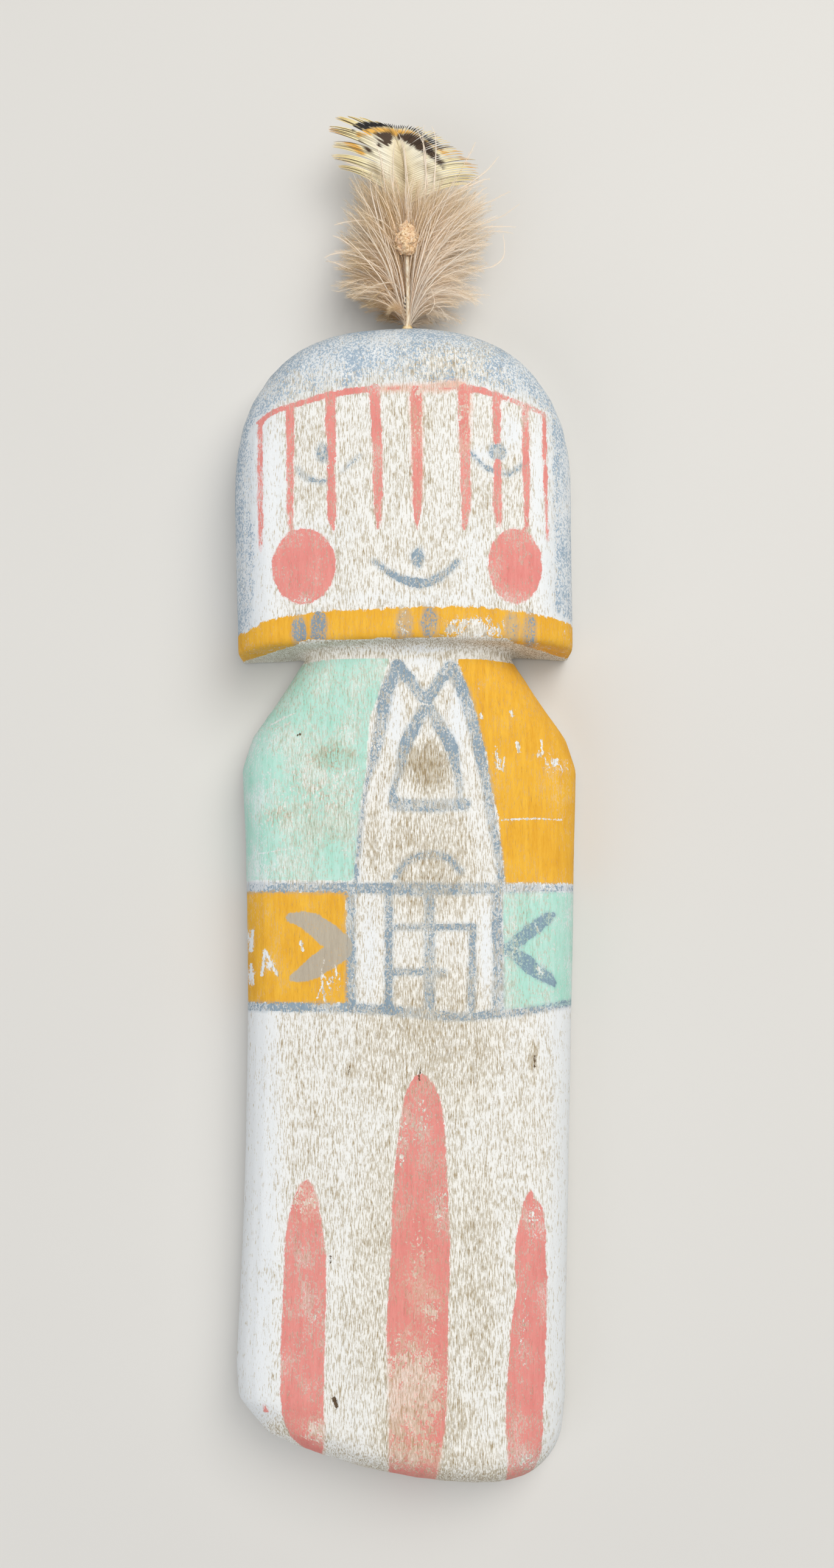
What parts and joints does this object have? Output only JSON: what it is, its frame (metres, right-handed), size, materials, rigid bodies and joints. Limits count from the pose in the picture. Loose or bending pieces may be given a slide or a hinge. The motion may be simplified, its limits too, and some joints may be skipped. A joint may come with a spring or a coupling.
{
  "type": "flat cradle kachina doll",
  "caption": "Flat carved and painted wooden cradle doll with a domed head over a tapering board body, and a small feather set in its crown; it lies on its back.",
  "frame": {"origin": "middle of the board's length and width, on its flat back", "axes": "+Z out of the painted front, +Y from the foot to the head, +X to the right-hand side of the front"},
  "size_m": [0.0563, 0.2247, 0.019],
  "materials": {
    "painted_wood": "whitewashed cottonwood root with matte mineral paint, worn to the grain",
    "plumage": "soft buff down under a flat barred tip",
    "dry_fibre": "dry crumbly fibre, matte",
    "dried_glue": "dried clear-yellow glue, dull gloss"
  },
  "bodies": {
    "root": {"carved_figure": "painted_wood", "feather": "plumage", "shaft_lump": "dry_fibre", "glue_ring": "dried_glue"}
  },
  "joints": []
}
